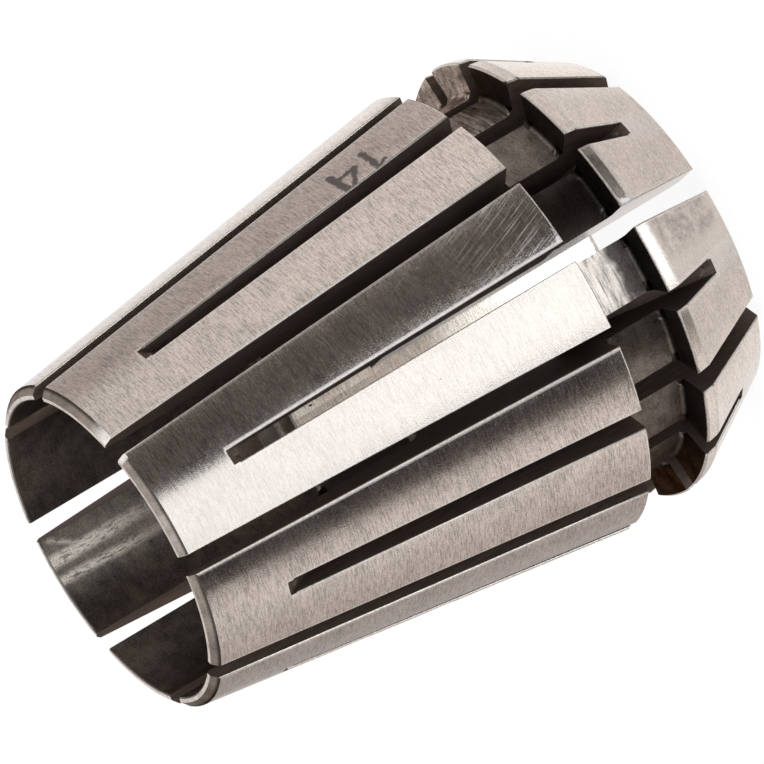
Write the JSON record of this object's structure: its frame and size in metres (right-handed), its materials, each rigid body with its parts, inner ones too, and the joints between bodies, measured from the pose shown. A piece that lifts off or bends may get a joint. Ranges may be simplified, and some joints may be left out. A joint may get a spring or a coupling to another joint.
{
  "type": "spring collet",
  "caption": "Slotted double-taper spring collet: a straight clamping bore, a long taper, an extraction groove and a steep nose cone.",
  "frame": {"origin": "centre of the flat nose face, on the collet's axis; the collet stands on that face", "axes": "+Z along the axis from the nose to the small tail end; +X through the middle of one of the slots that open at the tail"},
  "size_m": [0.026, 0.026, 0.035],
  "materials": {
    "ground_steel": "bare hardened steel, ground satin, with fine lines running round the axis"
  },
  "bodies": {
    "root": {"collet": "ground_steel"}
  },
  "joints": []
}
